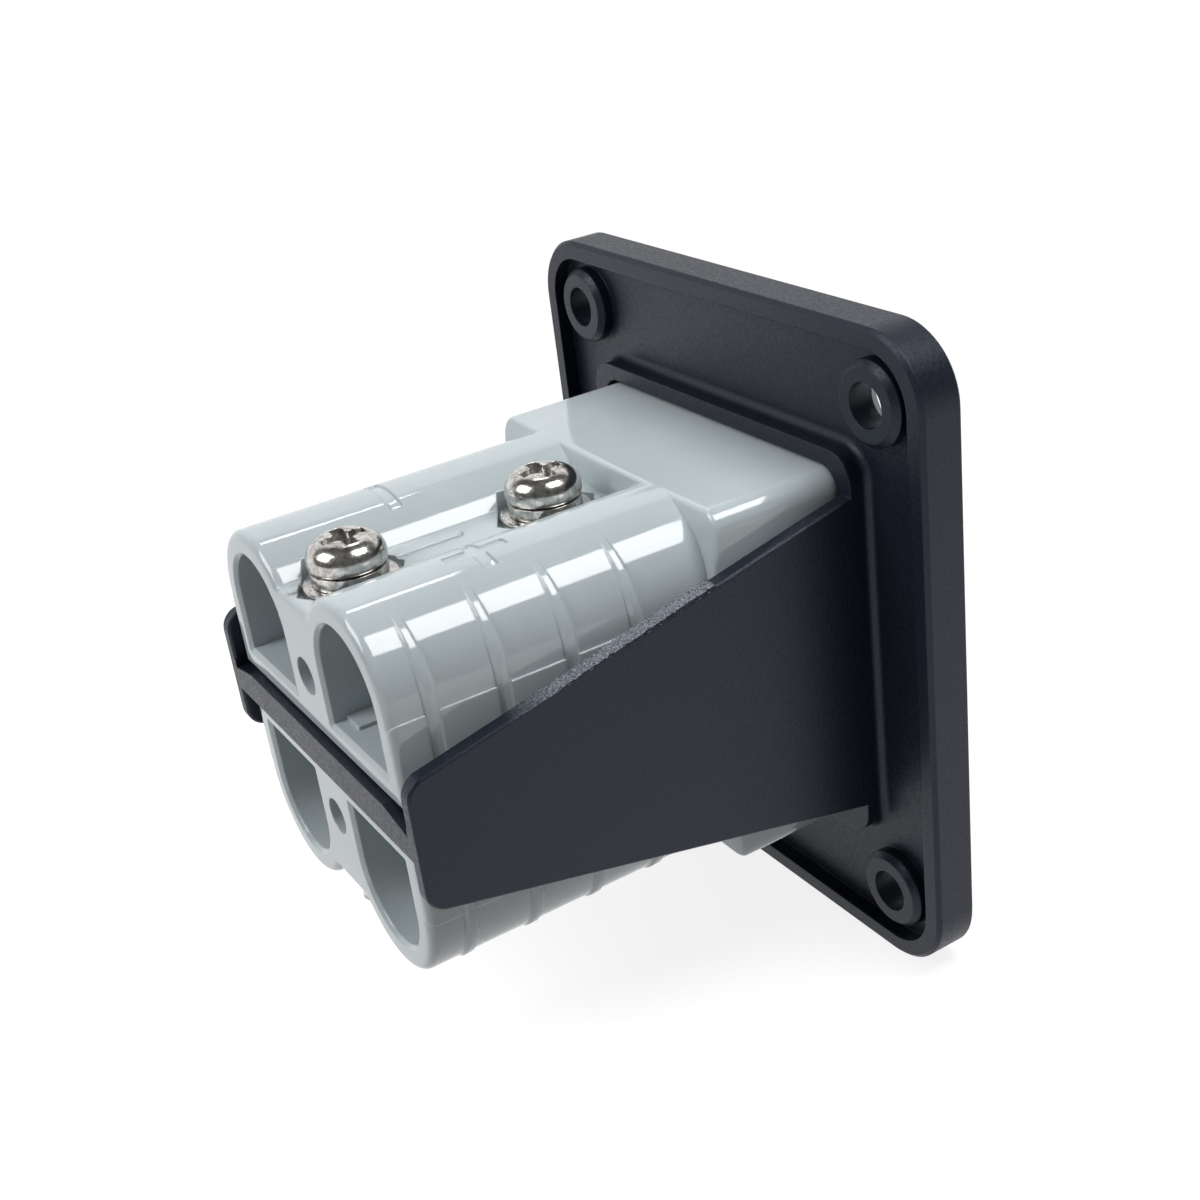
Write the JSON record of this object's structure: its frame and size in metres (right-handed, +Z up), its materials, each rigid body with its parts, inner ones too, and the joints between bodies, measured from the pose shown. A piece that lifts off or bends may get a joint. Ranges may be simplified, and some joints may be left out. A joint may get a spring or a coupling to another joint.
{
  "type": "dual power connector panel socket",
  "caption": "Flush panel bracket holding stacked genderless power connector housings, each with flat wiping contacts, clamped through a web by machine screws.",
  "frame": {"origin": "centre of the four mounting holes, in the plane of the plate's rear rim", "axes": "+Y from the mating front towards the wires, +Z up, +X across the panel"},
  "size_m": [0.0586, 0.0491, 0.0624],
  "materials": {
    "bracket_plastic": "fine moulded texture",
    "housing_plastic": "gloss",
    "contact_metal": "silver plated",
    "spring_steel": "satin",
    "fastener_steel": "polished"
  },
  "bodies": {
    "root": {"panel_bracket": "bracket_plastic", "upper_housing": "housing_plastic", "lower_housing": "housing_plastic", "upper_positive_contact": "contact_metal", "upper_negative_contact": "contact_metal", "lower_positive_contact": "contact_metal", "lower_negative_contact": "contact_metal", "upper_positive_spring": "spring_steel", "upper_negative_spring": "spring_steel", "lower_positive_spring": "spring_steel", "lower_negative_spring": "spring_steel", "clamp_screws": "fastener_steel", "spring_washers": "fastener_steel", "flat_washers": "fastener_steel", "clamp_nuts": "fastener_steel"}
  },
  "joints": []
}
